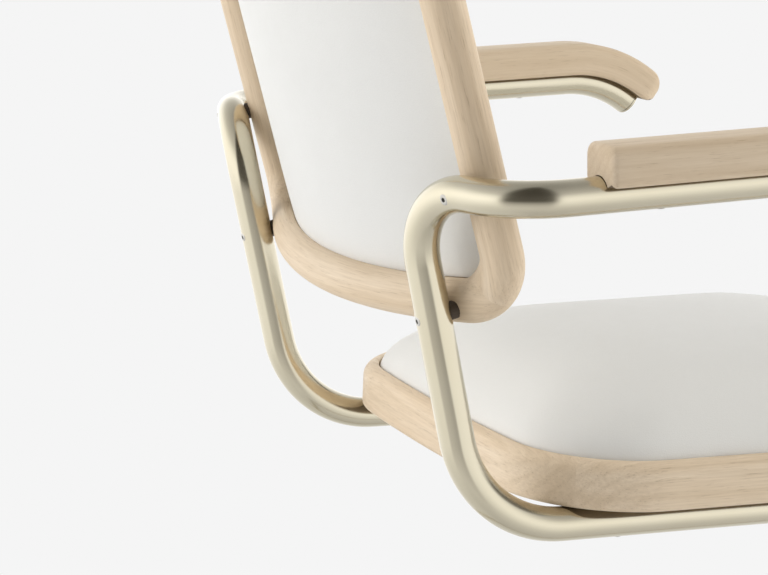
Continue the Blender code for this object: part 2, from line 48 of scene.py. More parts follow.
# Sizes shared with the solids, in metres
GAP = 0.0003
TUBE_RADIUS = 0.0125
RAIL_HALF = 0.172
ARM_HALF = 0.268
RAIL_Z = 0.385
REAR_CORNER_Y = 0.1846
POST_LEAN = math.radians(14.1)
POST_RISE = 0.2456
ARM_STEP = 0.033
ARM_RISE = math.radians(3.5)
ARM_REACH = 0.379
ARM_DROOP = math.radians(34.0)
ARM_TAIL = 0.036
LOW_BEND = 0.088
STEP_BEND = 0.052975
DROOP_BEND = 0.100
FRONT_BEND = 0.088
FLOOR_BEND = 0.088
FLOOR_Z = 0.003 + TUBE_RADIUS
RUNNER_Y = REAR_CORNER_Y + 0.040
PAD_WIDTH = 0.040
PAD_LOW = 0.0063
PAD_TOP = 0.0336
PAD_START = 0.093
PAD_OVERHANG = 0.016
PAD_TIP = 0.016
PAD_TOP_ROUND = 0.008
PAD_LOW_ROUND = 0.003
BACK_LEAN = math.radians(17.2)
BACK_CURVE = 0.455
BACK_HALF = 0.208
BACK_LOW = 0.1597
BACK_HIGH = 0.447
BACK_CORNER = 0.0375
BACK_WOOD = 0.0136
BACK_Y = 0.180265
BOARD_FRONT = -BACK_WOOD
BOARD_REAR = BOARD_FRONT + 0.004
PAD_INSET = 0.0034
SEAT_HALF = 0.208
SEAT_DEPTH = 0.466
SEAT_CORNER = 0.089
SEAT_BOW = 0.011
SEAT_WOOD = 0.0357
SEAT_RIM = 0.012
SEAT_LEDGE_IN = 0.049
SEAT_LEDGE_HEIGHT = 0.012
SEAT_TOP_ROUND = 0.010
SEAT_LOW_ROUND = 0.005
SEAT_FLOOR = 0.0216
SEAT_Z = RAIL_Z + TUBE_RADIUS + GAP
SCREW_HEAD = 0.0038
SCREW_RISE = 0.0010
SCREW_RADIUS = 0.0025

# Sizes of the fine forms
BEND_STEP = math.radians(3.0)
TUBE_EDGE = 0.0009
BACK_INNER = 0.30
BACK_CORNER_FILL = 0.20
INNER_FROM = -0.0095
INNER_OVER = 0.0035
BACK_FULLNESS = 3.0
BACK_SHOULDER = 0.5
BACK_EDGE_ROWS = (0.93, 0.4)
BACK_FILL = 0.8
BACK_RIM = 0.009
BACK_CROWN = 0.014
COVER_EDGE_IN = 0.01564
COVER_RIM = 0.0048
COVER_SAG = 0.0045
COVER_CROWN = 0.0010
SEAT_EDGE = -0.0015
SEAT_CROWN = 0.0575
SEAT_FULLNESS = 3.3
SEAT_SHOULDER = 0.60
SEAT_TILT = 0.10
SEAT_PAD_GAP = 0.0009
SEAT_EDGE_ROWS = (0.003, 0.0085)
SEAT_FILL = 0.85
PAD_SOFT = 0.0045
PAD_SOFT_STEPS = 6
TIP_STEPS = 10
TIP_WIDTH = 0.42
TIP_LEAST = 0.06
TIP_DROP = 0.002
GROOVE_PAST = 0.004
SOCKET = 0.0016
RING_CROWDING = 1.35

# Each cover's pressure and the most that its points move
COVER_SWELL = (1.5, 0.001)
BACK_SWELL = (2.0, 0.004)
SEAT_SWELL = (4.0, 0.007)
SWELL_FRAMES = 20
SWELL_EVENING = 40

SEAT_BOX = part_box("seat_frame")
SEAT_MIDDLE = (SEAT_BOX[0].y + SEAT_BOX[1].y) / 2
LEG_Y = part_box("tube_left")[0].y + TUBE_RADIUS
POST_TOP_Y = REAR_CORNER_Y + POST_RISE * math.tan(POST_LEAN)
ARM_Z = RAIL_Z + POST_RISE
DROOP_FORWARD = Vector((0.0, -math.cos(ARM_DROOP), -math.sin(ARM_DROOP)))


# Materials

class Nodes:
    """A node tree with short calls for adding and joining nodes."""

    def __init__(self, owner):
        owner.use_nodes = True
        self.tree = owner.node_tree

    def node(self, kind, settings=None, **sockets):
        made = self.tree.nodes.new("ShaderNode" + kind)
        for key, value in (settings or {}).items():
            setattr(made, key, value)
        for key, value in sockets.items():
            self.put(made, key.replace("_", " "), value)
        return made

    def put(self, made, key, value):
        place = int(key[1:]) if key[0] == "i" and key[1:].isdigit() else key
        if isinstance(value, bpy.types.NodeSocket):
            self.tree.links.new(value, made.inputs[place])
        else:
            made.inputs[place].default_value = value

    def place(self):
        return self.node("TexCoord").outputs["Object"]

    def scaled(self, vector, scale):
        return self.node("Mapping", Vector=vector, Scale=scale).outputs["Vector"]

    def noise(self, vector, scale, detail=3.0, roughness=0.5, distortion=0.0):
        made = self.node("TexNoise", Vector=vector, Scale=scale, Detail=detail, Roughness=roughness,
                         Distortion=distortion)
        return made.outputs["Fac"]

    def maths(self, operation, a, b):
        return self.node("Math", {"operation": operation}, i0=a, i1=b).outputs[0]

    def dot(self, vector, way):
        made = self.node("VectorMath", {"operation": "DOT_PRODUCT"}, i0=vector, i1=way)
        return made.outputs["Value"]

    def spread(self, value, low, high, to_low, to_high):
        made = self.node("MapRange", Value=value)
        keys = ("From Min", "From Max", "To Min", "To Max")
        for key, number in zip(keys, (low, high, to_low, to_high)):
            made.inputs[key].default_value = number
        return made.outputs["Result"]

    def ramp(self, value, stops):
        made = self.node("ValToRGB", Fac=value)
        points = made.color_ramp.elements
        while len(points) < len(stops):
            points.new(0.5)
        for point, (place, colour) in zip(points, stops):
            point.position = place
            point.color = (*colour, 1.0)
        return made.outputs["Color"]

    def mix(self, factor, a, b):
        made = self.node("Mix", {"data_type": "RGBA"})
        self.put(made, "Factor", factor)
        for key, value in (("i6", a), ("i7", b)):
            self.put(made, key, value if isinstance(value, bpy.types.NodeSocket) else (*value, 1.0))
        return made.outputs[2]

    def blend(self, factor, a, b):
        return self.node("MixShader", i0=factor, i1=a.outputs[0], i2=b.outputs[0])

    def shade(self, output, shader):
        self.tree.links.new(shader.outputs[0], self.tree.nodes[output].inputs["Surface"])


class Paint(Nodes):
    """A material whose Principled shader is fed by its nodes."""

    def __init__(self, name):
        self.mat = bpy.data.materials.new(name)
        super().__init__(self.mat)
        self.shader = self.tree.nodes["Principled BSDF"]

    def grain(self):
        return self.node("Attribute", {"attribute_name": "grain"}).outputs["Vector"]

    def set(self, **sockets):
        for key, value in sockets.items():
            self.put(self.shader, key.replace("_", " "), value)

    def bump(self, height, strength, distance):
        made = self.node("Bump", Height=height, Strength=strength, Distance=distance)
        self.set(Normal=made.outputs["Normal"])


def metal_paint(name):
    """Satin pale-gold tube: drawn lines along the length and a cloudy sheen."""
    p = Paint(name)
    along = p.grain()
    lines = p.noise(p.scaled(along, (6.0, 900.0, 900.0)), 1.0, 2.0)
    clouds = p.noise(p.scaled(along, (14.0, 30.0, 30.0)), 1.0, 3.0)
    rough = p.maths("ADD", p.spread(clouds, 0.3, 0.7, 0.17, 0.22),
                    p.spread(lines, 0.3, 0.7, -0.02, 0.02))
    tone = p.ramp(clouds, [(0.25, (0.63, 0.572, 0.43)), (0.75, (0.665, 0.612, 0.475))])
    p.set(Base_Color=tone, Metallic=1.0, Roughness=rough, Coat_Weight=0.35, Coat_Roughness=0.12)
    p.bump(lines, 0.10, 0.0002)
    return p.mat


def wood_paint(name, shade):
    """Pale ash: broad figure, growth rings, silky fibres and open pores; shade scales its tone."""
    p = Paint(name)
    along = p.grain()
    sway = p.noise(p.scaled(along, (5.0, 22.0, 22.0)), 1.0, 2.0)
    figure = p.noise(p.scaled(along, (3.0, 45.0, 45.0)), 1.0, 4.0, 0.55, 0.6)
    fibres = p.noise(p.scaled(along, (22.0, 650.0, 650.0)), 1.0, 3.0, 0.6)
    depth = p.maths("ADD", p.dot(along, (0.0, 0.8, 0.6)), p.maths("MULTIPLY", sway, 0.014))
    rings = p.node("TexWave", {"wave_type": "BANDS", "bands_direction": "X"},
                   Vector=p.node("CombineXYZ", X=depth, Y=figure).outputs[0],
                   Scale=46.0, Distortion=1.0, Detail=2.0, Detail_Scale=1.5).outputs["Fac"]
    pores = p.noise(p.scaled(along, (60.0, 1150.0, 1150.0)), 1.0, 2.0, 0.6)
    open_pores = p.spread(pores, 0.59, 0.72, 0.0, 1.0)
    tones = [(0.28, (0.725, 0.572, 0.40)), (0.5, (0.81, 0.66, 0.485)), (0.72, (0.87, 0.73, 0.56))]
    # The tones are scaled by shade; below 1 this is painted shade.
    body = p.ramp(figure, [(stop, tuple(part * shade for part in tone)) for stop, tone in tones])
    silk = p.mix(p.spread(fibres, 0.35, 0.70, 0.0, 0.45), body, (0.62, 0.48, 0.325))
    late = p.mix(p.spread(rings, 0.55, 1.0, 0.0, 0.18), silk, (0.58, 0.435, 0.28))
    crowd = p.maths("MULTIPLY", open_pores, p.spread(rings, 0.2, 0.9, 0.30, 0.62))
    p.set(Base_Color=p.mix(crowd, late, (0.44, 0.315, 0.195)), Specular_IOR_Level=0.27,
          Roughness=p.spread(figure, 0.25, 0.75, 0.60, 0.48))
    p.bump(p.maths("SUBTRACT", p.maths("MULTIPLY", rings, 0.25), open_pores), 0.22, 0.0004)
    return p.mat


def leather_paint(name):
    """Smooth white leather: pebbled grain with painted shade at its edges, faint creases and clouded
    whiteness.
    """
    p = Paint(name)
    place = p.place()
    pebble = p.node("TexVoronoi", {"feature": "DISTANCE_TO_EDGE"}, Vector=place, Scale=620.0,
                    Randomness=0.95).outputs["Distance"]
    crease = p.noise(place, 85.0, 4.0, 0.6, 0.8)
    clouds = p.noise(place, 9.0, 3.0)
    tone = p.ramp(clouds, [(0.3, (0.785, 0.778, 0.750)), (0.7, (0.81, 0.803, 0.775))])
    # Painted shade: the pebbles' edges, low in the bump, are mixed up to 10% toward a darker grey.
    p.set(Base_Color=p.mix(p.spread(pebble, 0.0, 0.12, 0.10, 0.0), tone, (0.64, 0.63, 0.60)),
          Roughness=p.spread(crease, 0.3, 0.7, 0.48, 0.60), Specular_IOR_Level=0.30,
          Sheen_Weight=0.05, Sheen_Roughness=0.5)
    height = p.maths("ADD", p.spread(pebble, 0.0, 0.35, 0.0, 1.0), p.maths("MULTIPLY", crease, 0.8))
    p.bump(height, 0.16, 0.0004)
    return p.mat


def speckled_paint(name, dark, pale, rough):
    """A speckled matte colour: moulded plastic, or the dark of painted shade."""
    p = Paint(name)
    place = p.place()
    clouds = p.noise(place, 60.0, 3.0)
    p.set(Base_Color=p.ramp(clouds, [(0.3, dark), (0.7, pale)]),
          Roughness=p.spread(clouds, 0.3, 0.7, rough - 0.06, rough + 0.06))
    p.bump(p.noise(place, 900.0, 2.0), 0.15, 0.0002)
    return p.mat


def steel_paint(name):
    """Plain turned steel with tool marks."""
    p = Paint(name)
    place = p.place()
    marks = p.noise(p.scaled(place, (300.0, 300.0, 2600.0)), 1.0, 2.0)
    clouds = p.noise(place, 140.0, 2.0)
    tone = p.ramp(clouds, [(0.3, (0.50, 0.48, 0.44)), (0.7, (0.60, 0.58, 0.54))])
    p.set(Base_Color=tone, Metallic=1.0, Roughness=p.spread(marks, 0.3, 0.7, 0.26, 0.40))
    p.bump(marks, 0.08, 0.0001)
    return p.mat


def plywood_paint(name):
    """Unfinished board: long grain, darker figure and a dry surface."""
    p = Paint(name)
    place = p.place()
    figure = p.noise(p.scaled(place, (70.0, 5.0, 70.0)), 1.0, 4.0, 0.55, 0.8)
    fibres = p.noise(p.scaled(place, (900.0, 30.0, 900.0)), 1.0, 2.0)
    tone = p.ramp(figure, [(0.3, (0.42, 0.30, 0.18)), (0.7, (0.58, 0.44, 0.29))])
    p.set(Base_Color=p.mix(p.spread(fibres, 0.5, 0.75, 0.0, 0.3), tone, (0.33, 0.23, 0.14)),
          Roughness=p.spread(figure, 0.3, 0.7, 0.78, 0.66))
    p.bump(fibres, 0.2, 0.0004)
    return p.mat


METAL = metal_paint("satin_champagne_metal")
WOOD = wood_paint("pale_ash", 1.0)
# Painted shade: the arm pads get the ash made 10% darker.
ARM_WOOD_SHADED = wood_paint("pale_ash_arm_painted_shade", 0.90)
LEATHER = leather_paint("white_leather")
STEEL = steel_paint("turned_steel")
DARK = speckled_paint("dark_brown_plastic", (0.050, 0.034, 0.020), (0.075, 0.052, 0.032), 0.65)
# Painted shade: dark brown for undersides in shadow, on the seat rim and under the arm pads.
UNDERSIDE_SHADE = speckled_paint("painted_underside_shade", (0.19, 0.14, 0.092), (0.25, 0.187, 0.125), 0.85)
# Painted shade: near-black standing in for the shade inside the screws' shallow sockets.
SHADE = speckled_paint("painted_socket_shade", (0.020, 0.018, 0.015), (0.032, 0.029, 0.024), 0.80)
PALE = speckled_paint("pale_plastic", (0.60, 0.59, 0.55), (0.68, 0.67, 0.63), 0.42)
PLYWOOD = plywood_paint("raw_plywood")


# Meshes

def add_object(name, verts, faces, material, sharp=None, grain=None):
    """A smooth mesh object with outward faces; grain holds a texture place for each face corner."""
    mesh = bpy.data.meshes.new(name)
    mesh.from_pydata(verts, [], faces)
    if grain is not None:
        layer = mesh.attributes.new("grain", "FLOAT_VECTOR", "CORNER")
        layer.data.foreach_set("vector", np.array(grain, dtype=np.float32).ravel())
    bm = bmesh.new()
    bm.from_mesh(mesh)
    bmesh.ops.recalc_face_normals(bm, faces=bm.faces)
    bm.to_mesh(mesh)
    bm.free()
    mesh.shade_smooth()
    if sharp:
        mesh.set_sharp_from_angle(angle=math.radians(sharp))
    mesh.materials.append(material)
    ob = bpy.data.objects.new(name, mesh)
    bpy.context.scene.collection.objects.link(ob)
    return ob


def settle(ob, node):
    """Hangs a finished piece on the frame in the place of its solid."""
    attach(ob, "root")
    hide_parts(node)


def skin(name, rows, places, material, ring=False, sharp=None):
    """A mesh over rows of points; places holds the texture places along both rows of each strip."""
    count = len(rows[0])
    faces = []
    grain = []
    for i, (low_places, high_places) in enumerate(places):
        low = i * count
        high = (i + 1) % len(rows) * count
        for j in range(count):
            k = (j + 1) % count
            faces.append((low + j, low + k, high + k, high + j))
            grain += [low_places[j], low_places[k], high_places[k], high_places[j]]
    if not ring:
        for row, spots in ((0, places[0][0]), (len(rows) - 1, places[-1][1])):
            faces.append(tuple(row * count + j for j in range(count)))
            grain += spots
    return add_object(name, [p for row in rows for p in row], faces, material, sharp, grain)


def line_with(ob, material, test):
    """Gives the faces that pass a test a second material."""
    ob.data.materials.append(material)
    for face in ob.data.polygons:
        if test(face):
            face.material_index = 1


def pairs(spots):
    return list(zip(spots[:-1], spots[1:]))


def jointed(spots, shift):
    """Texture places for a ring of four jointed pieces, with each one's grain along its length."""
    places = []
    for low, high in pairs(spots + spots[:1]):
        x, y, _ = np.mean(low + high, axis=0)
        dx, dy, _ = np.mean(high, axis=0) - np.mean(low, axis=0)
        order = (0, 1, 2) if abs(dx) > abs(dy) else (1, 0, 2)
        move = shift + 0.7 * order[0] + (0.31 if (y, x)[order[0]] > 0 else 0.0)
        places.append([[tuple(p[k] + move for k in order) for p in row] for row in (low, high)])
    return places


def rounded_path(corners, radii):
    """A path through the corners with each inner one replaced by an arc."""
    path = [corners[0]]
    for i, radius in enumerate(radii, start=1):
        back = (corners[i - 1] - corners[i]).normalized()
        ahead = (corners[i + 1] - corners[i]).normalized()
        turn = math.pi - back.angle(ahead)
        centre = corners[i] + (back + ahead).normalized() * (radius / math.cos(turn / 2))
        first = corners[i] + back * radius * math.tan(turn / 2) - centre
        side = -back * radius
        count = max(4, math.ceil(turn / BEND_STEP))
        for k in range(count + 1):
            angle = turn * k / count
            path.append(centre + first * math.cos(angle) + side * math.sin(angle))
    path.append(corners[-1])
    return path


def filled(path, step):
    """The path with its long straight runs split up."""
    points = []
    for a, b in zip(path[:-1], path[1:]):
        count = max(1, math.ceil((b - a).length / step))
        points += [a.lerp(b, k / count) for k in range(count)]
    return points + [path[-1]]


def lengths(path):
    total = [0.0]
    for a, b in zip(path[:-1], path[1:]):
        total.append(total[-1] + (b - a).length)
    return total


def headings(path):
    ends = [path[0]] + path + [path[-1]]
    return [(after - before).normalized() for before, after in zip(ends[:-2], ends[2:])]


def arc(centre, radius, start, end, steps):
    angles = [math.radians(start + (end - start) * k / steps) for k in range(steps + 1)]
    return [(centre[0] + radius * math.cos(a), centre[1] + radius * math.sin(a)) for a in angles]


def rounded_outline(half, deep, radius, corner_steps, edge_steps):
    """A rounded rectangle as (x, y, roundness) triples, from the middle of its first corner."""
    points = []
    for quarter in range(4):
        middle = (quarter + 0.5) * math.pi / 2
        cx = math.copysign(half - radius, math.cos(middle))
        cy = math.copysign(deep - radius, math.sin(middle))
        for k in range(corner_steps + 1):
            a = (quarter + k / corner_steps) * math.pi / 2
            roundness = math.sin(math.pi * k / corner_steps)
            points.append((cx + radius * math.cos(a), cy + radius * math.sin(a), roundness))
        nx = math.copysign(half - radius, math.cos(middle + math.pi / 2))
        ny = math.copysign(deep - radius, math.sin(middle + math.pi / 2))
        step_x = (nx - cx) / edge_steps
        step_y = (ny - cy) / edge_steps
        for _ in range(1, edge_steps):
            points.append((points[-1][0] + step_x, points[-1][1] + step_y, 0.0))
    start = corner_steps // 2
    return points[start:] + points[:start]


# Tubes

def arm_point(side, ahead):
    return Vector((side * ARM_HALF, POST_TOP_Y - ahead, ARM_Z + ahead * math.tan(ARM_RISE)))


def tube_path(side):
    """From the arm's front end round the post, under the seat and along the floor to the middle."""
    x = side * RAIL_HALF
    arm_corner = arm_point(side, ARM_REACH)
    corners = [
        arm_corner + DROOP_FORWARD * ARM_TAIL,
        arm_corner,
        arm_point(side, ARM_STEP),
        Vector((x, POST_TOP_Y, ARM_Z)),
        Vector((x, REAR_CORNER_Y, RAIL_Z)),
        Vector((x, LEG_Y, RAIL_Z)),
        Vector((x, LEG_Y, FLOOR_Z)),
        Vector((x, RUNNER_Y, FLOOR_Z)),
        Vector((side * GAP, RUNNER_Y, FLOOR_Z)),
    ]
    bends = [DROOP_BEND, STEP_BEND, STEP_BEND, LOW_BEND, FRONT_BEND, FLOOR_BEND, FLOOR_BEND]
    return rounded_path(corners, bends)


def tube(name, side):
    """A bent tube with softly broken ends, its sides kept from twisting along the bends."""
    path = filled(tube_path(side), 0.03)
    ways = headings(path)
    far = lengths(path)
    edge = TUBE_EDGE
    stations = [(path[0], ways[0], far[0], TUBE_RADIUS - edge)]
    stations.append((path[0] + ways[0] * edge * 0.3, ways[0], edge * 0.3, TUBE_RADIUS - edge * 0.3))
    stations.append((path[0] + ways[0] * edge, ways[0], edge, TUBE_RADIUS))
    stations += [(p, w, u, TUBE_RADIUS) for p, w, u in zip(path[1:-1], ways[1:-1], far[1:-1])]
    stations.append((path[-1] - ways[-1] * edge, ways[-1], far[-1] - edge, TUBE_RADIUS))
    stations.append((path[-1], ways[-1], far[-1], TUBE_RADIUS - edge))
    circle = arc((0.0, 0.0), 1.0, 0.0, 360.0, 40)[:-1]
    across = ways[0].orthogonal().normalized()
    rows = []
    spots = []
    for place, way, u, radius in stations:
        across = (across - way * across.dot(way)).normalized()
        up = way.cross(across)
        rows.append([place + across * a * radius + up * b * radius for a, b in circle])
        spots.append([(u, a * radius, b * radius) for a, b in circle])
    settle(skin(name + "_fine", rows, pairs(spots), METAL, sharp=40.0), name)


for name, side in SIDES.items():
    tube("tube_" + name, side)


# Back

BACK_MIDDLE = (BACK_LOW + BACK_HIGH) / 2
BACK_TALL = (BACK_HIGH - BACK_LOW) / 2


def back_point(across, along, out):
    """A point of the back: across and along its curved middle surface, and out behind it."""
    rearward = Vector((0.0, math.cos(BACK_LEAN), -math.sin(BACK_LEAN)))
    upward = Vector((0.0, math.sin(BACK_LEAN), math.cos(BACK_LEAN)))
    lean = across / BACK_CURVE
    level = math.sqrt(1.0 - lean ** 2)
    depth = -BACK_CURVE * (1.0 - level) + out * level
    base = Vector((across + out * lean, BACK_Y, RAIL_Z))
    return base + upward * (BACK_MIDDLE + along) + rearward * depth


def back_frame():
    """The bent wooden ring, wider on its inner side and most of all inside its corners."""
    line = rounded_outline(BACK_HALF, BACK_TALL, BACK_CORNER, 22, 44)
    centres = [back_point(x, s, 0.0) for x, s, _ in line]
    middle = back_point(0.0, 0.0, 0.0)
    count = len(line)
    rows = []
    spots = []
    for i, (x, s, corner) in enumerate(line):
        before = (i - 1) % count
        after = (i + 1) % count
        way = (centres[after] - centres[before]).normalized()
        normal = back_point(x, s, 0.01) - centres[i]
        normal = (normal - way * normal.dot(way)).normalized()
        inward = way.cross(normal)
        if inward.dot(middle - centres[i]) < 0:
            inward = -inward
        dx = line[after][0] - line[before][0]
        ds = line[after][1] - line[before][1]
        run = math.hypot(dx, ds)
        row = []
        spot = []
        for a, n in arc((0.0, 0.0), BACK_WOOD, 0.0, 360.0, 36)[:-1]:
            if a > 0:
                widened = min(max((n - INNER_FROM) / INNER_OVER, 0.0), 1.0)
                a *= 1.0 + BACK_INNER * widened + BACK_CORNER_FILL * corner
            row.append(centres[i] + inward * a + normal * n)
            spot.append((x - a * ds / run, s + a * dx / run, n))
        rows.append(row)
        spots.append(spot)
    ob = skin("back_frame_fine", rows, jointed(spots, 3.1), WOOD, ring=True)
    settle(ob, "back_frame")


back_frame()


# Cushions

def dome(t, fullness, shoulder):
    """A full cushion's height from its middle (0) to its edge (1)."""
    return max(1.0 - abs(t) ** fullness, 0.0) ** shoulder


def ring_grid(outline, cells):
    """A square grid drawn out to an outline of 4 * cells points, as rows of (x, y, ring size)."""
    rows = []
    for i in range(cells + 1):
        row = []
        for j in range(cells + 1):
            s = 2 * i / cells - 1
            t = 2 * j / cells - 1
            r = max(abs(s), abs(t), 1e-9)
            if t == r:
                turn = (r - s) / (2 * r)
            elif s == -r:
                turn = 1 + (r - t) / (2 * r)
            elif t == -r:
                turn = 2 + (r + s) / (2 * r)
            else:
                turn = 3 + (r + t) / (2 * r)
            first = int(turn * cells + 1e-6)
            part = turn * cells - first
            a = outline[first % len(outline)]
            b = outline[(first + 1) % len(outline)]
            size = 1.0 - (1.0 - r) ** RING_CROWDING
            x = a[0] + (b[0] - a[0]) * part
            y = a[1] + (b[1] - a[1]) * part
            row.append((x * size, y * size, size))
        rows.append(row)
    return rows


def border_of(rows):
    """A grid's border entries, in order round it."""
    last = len(rows) - 1
    ring = [rows[0][j] for j in range(last)]
    ring += [rows[i][last] for i in range(last)]
    ring += [rows[last][j] for j in range(last, 0, -1)]
    ring += [rows[i][0] for i in range(last, 0, -1)]
    return ring


def cushion(name, node, upper, lower, between, pressure, cap, fill):
    """A closed cover over two grids, joined by rows of points round their borders, then swollen."""
    size = len(upper)
    cells = size * size
    number = [[i * size + j for j in range(size)] for i in range(size)]
    verts = [p for row in upper + lower for p in row]
    faces = []
    for i in range(size - 1):
        for j in range(size - 1):
            quad = [number[i][j], number[i][j + 1], number[i + 1][j + 1], number[i + 1][j]]
            faces.append(quad)
            faces.append([cells + k for k in reversed(quad)])
    border = border_of(number)
    rings = [border]
    for loop in between:
        rings.append(list(range(len(verts), len(verts) + len(loop))))
        verts += loop
    rings.append([cells + k for k in border])
    for ring, below in pairs(rings):
        for k in range(len(border)):
            n = (k + 1) % len(border)
            faces.append((ring[n], ring[k], below[k], below[n]))
    ob = add_object(name, verts, faces, LEATHER)
    inflate(ob, border + list(range(cells, len(verts))), pressure, cap)
    fine = ob.modifiers.new("fine", "SUBSURF")
    fine.levels = 1
    fine.render_levels = 1
    settle(ob, node)


def evened(ob, move, held, rounds):
    """Point moves averaged with their neighbours' moves, so that the swelling leaves no wrinkles."""
    ends = np.array([e.vertices for e in ob.data.edges])
    count = np.bincount(ends.ravel(), minlength=len(move))[:, None]
    for _ in range(rounds):
        near = np.zeros_like(move)
        np.add.at(near, ends[:, 0], move[ends[:, 1]])
        np.add.at(near, ends[:, 1], move[ends[:, 0]])
        move = (move + near / count) / 2
        move[held] = 0.0
    return move


def inflate(ob, held, pressure, cap):
    """Lets the cover swell as cloth with the held points fixed, then keeps that shape."""
    rest = np.array([v.co for v in ob.data.vertices])
    group = ob.vertex_groups.new(name="held")
    group.add(held, 1.0, "REPLACE")
    swell = ob.modifiers.new("swell", "CLOTH")
    cloth = swell.settings
    cloth.quality = 6
    cloth.mass = 0.3
    cloth.use_pressure = True
    cloth.uniform_pressure_force = pressure
    cloth.effector_weights.gravity = 0.0
    cloth.vertex_group_mass = group.name
    swell.point_cache.frame_start = 1
    swell.point_cache.frame_end = SWELL_FRAMES
    for number in range(1, SWELL_FRAMES + 1):
        bpy.context.scene.frame_set(number)
    shaped = ob.evaluated_get(bpy.context.evaluated_depsgraph_get()).to_mesh()
    move = np.array([v.co for v in shaped.vertices]) - rest
    ob.modifiers.remove(swell)
    ob.vertex_groups.remove(group)
    bpy.context.scene.frame_set(1)
    far = np.linalg.norm(move, axis=1, keepdims=True)
    move *= np.minimum(1.0, cap / np.maximum(far, 1e-9))
    move = evened(ob, move, held, SWELL_EVENING)
    ob.data.vertices.foreach_set("co", (rest + move).astype(np.float32).ravel())
    ob.data.update()


def back_cushion(node, inset, start, rim, sag, crown, pressure, cap):
    """A crowned cover on one face of the back board; its turned-down edge sags toward the sides."""
    outline = rounded_outline(BACK_HALF - inset, BACK_TALL - inset, BACK_CORNER - inset, 12, 48)
    grid = ring_grid(outline, 60)

    def edge(x):
        return rim - sag * (x / (BACK_HALF - inset)) ** 2

    upper = []
    for row in grid:
        heights = [edge(x) + crown * dome(size, BACK_FULLNESS, BACK_SHOULDER) for x, _, size in row]
        upper.append([back_point(x, s, start + n) for (x, s, _), n in zip(row, heights)])
    lower = [[back_point(x, s, start) for x, s, _ in row] for row in grid]
    border = border_of(grid)
    between = []
    for part in BACK_EDGE_ROWS:
        between.append([back_point(x, s, start + edge(x) * part) for x, s, _ in border])
    cushion(node + "_fine", node, upper, lower, between, pressure, cap, BACK_FILL)


back_cushion("back_cover", COVER_EDGE_IN, BOARD_REAR + GAP, COVER_RIM, COVER_SAG, COVER_CROWN,
             *COVER_SWELL)
back_cushion("back_pad", PAD_INSET, BOARD_FRONT - GAP, -BACK_RIM, 0.0, -BACK_CROWN, *BACK_SWELL)


# Seat

def seat_outline(inset, corner_steps, edge_steps):
    """The seat's plan: a rounded rectangle with bowed rear and front edges."""
    half = SEAT_HALF - inset
    deep = SEAT_DEPTH / 2 - inset
    plain = rounded_outline(half, deep, SEAT_CORNER - inset, corner_steps, edge_steps)
    return [(x, y - SEAT_BOW * (x / half) ** 2 * y / deep) for x, y, _ in plain]


def seat_point(x, y, z):
    return Vector((x, SEAT_MIDDLE + y, SEAT_Z + z))


def seat_frame():
    """The seat's wooden rim with rounded edges and the ledge that carries the board."""
    low = SEAT_LOW_ROUND
    top = SEAT_TOP_ROUND
    small = 0.0012
    profile = arc((low, low), low, 270.0, 180.0, 8)
    profile += arc((top, SEAT_WOOD - top), top, 180.0, 90.0, 12)
    profile += arc((SEAT_RIM - small, SEAT_WOOD - small), small, 90.0, 0.0, 4)
    ledge = SEAT_LEDGE_HEIGHT
    profile += [(SEAT_RIM, ledge), (SEAT_LEDGE_IN, ledge), (SEAT_LEDGE_IN, 0.0)]
    loops = [[(x, y, z) for x, y in seat_outline(inset, 22, 26)] for inset, z in profile]
    spots = [list(spot) for spot in zip(*loops)]
    rows = [[seat_point(*p) for p in spot] for spot in spots]
    ob = skin("seat_frame_fine", rows, jointed(spots, 7.7), WOOD, ring=True, sharp=40.0)
    # Painted shade: the rim's downward faces are painted dark brown as shadow.
    line_with(ob, UNDERSIDE_SHADE, lambda face: face.normal.z < -0.95)
    settle(ob, "seat_frame")


def pad_height(y, size):
    """The pad's crown, a little fuller towards the front."""
    full = SEAT_CROWN * (1.0 - SEAT_TILT * y / (SEAT_DEPTH / 2))
    return full * dome(size, SEAT_FULLNESS, SEAT_SHOULDER)


def seat_pad():
    """A full pad that stands on the board inside the wooden rim."""
    edge = SEAT_WOOD + SEAT_EDGE
    grid = ring_grid(seat_outline(SEAT_RIM + SEAT_PAD_GAP, 16, 38), 54)
    upper = []
    for row in grid:
        upper.append([seat_point(x, y, edge + pad_height(y, size)) for x, y, size in row])
    lower = [[seat_point(x, y, SEAT_FLOOR) for x, y, _ in row] for row in grid]
    border = border_of(grid)
    between = [[seat_point(x, y, edge - drop) for x, y, _ in border] for drop in SEAT_EDGE_ROWS]
    cushion("seat_pad_fine", "seat_pad", upper, lower, between, *SEAT_SWELL, SEAT_FILL)


seat_frame()
seat_pad()


# Arm pads

def pad_section(grooved):
    """The arm pad's section from one lower corner round the top, then along the tube's groove."""
    half = PAD_WIDTH / 2
    low = PAD_LOW_ROUND
    top = PAD_TOP_ROUND
    points = arc((half - low, PAD_LOW + low), low, -90.0, 0.0, 5)
    points += arc((half - top, PAD_TOP - top), top, 0.0, 90.0, 10)
    points += arc((top - half, PAD_TOP - top), top, 90.0, 180.0, 10)
    points += arc((low - half, PAD_LOW + low), low, 180.0, 270.0, 5)
    radius = TUBE_RADIUS + 2 * GAP
    edge = math.degrees(math.asin(PAD_LOW / radius))
    groove = arc((0.0, 0.0), radius, 180.0 - edge, edge, 14)
    return points, [(x, v if grooved else PAD_LOW) for x, v in groove]


